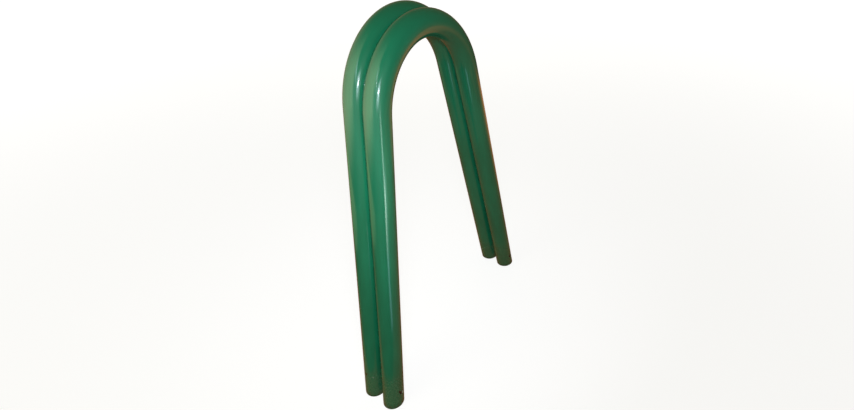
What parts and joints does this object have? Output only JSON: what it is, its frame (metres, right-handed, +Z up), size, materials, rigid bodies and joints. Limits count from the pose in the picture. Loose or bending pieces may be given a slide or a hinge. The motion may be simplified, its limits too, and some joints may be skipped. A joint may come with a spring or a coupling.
{
  "type": "hoop bicycle rack",
  "caption": "Bicycle rack of bent steel tubes side by side in an inverted U with splayed legs, stitch welded together under the crown, painted gloss green.",
  "frame": {"origin": "on the ground under the middle of the rack's bounding box", "axes": "+Z up, +X along the span of the hoops from the near legs to the far legs, +Y from the front hoop to the rear hoop"},
  "size_m": [0.773, 0.1346, 0.991],
  "materials": {
    "green_paint": "gloss powder coat over steel tube",
    "green_paint_weld": "gloss powder coat over a rippled weld bead"
  },
  "bodies": {
    "root": {"front_hoop": "green_paint", "rear_hoop": "green_paint", "weld_near_shoulder": "green_paint_weld", "weld_crown": "green_paint_weld", "weld_far_shoulder": "green_paint_weld"}
  },
  "joints": []
}
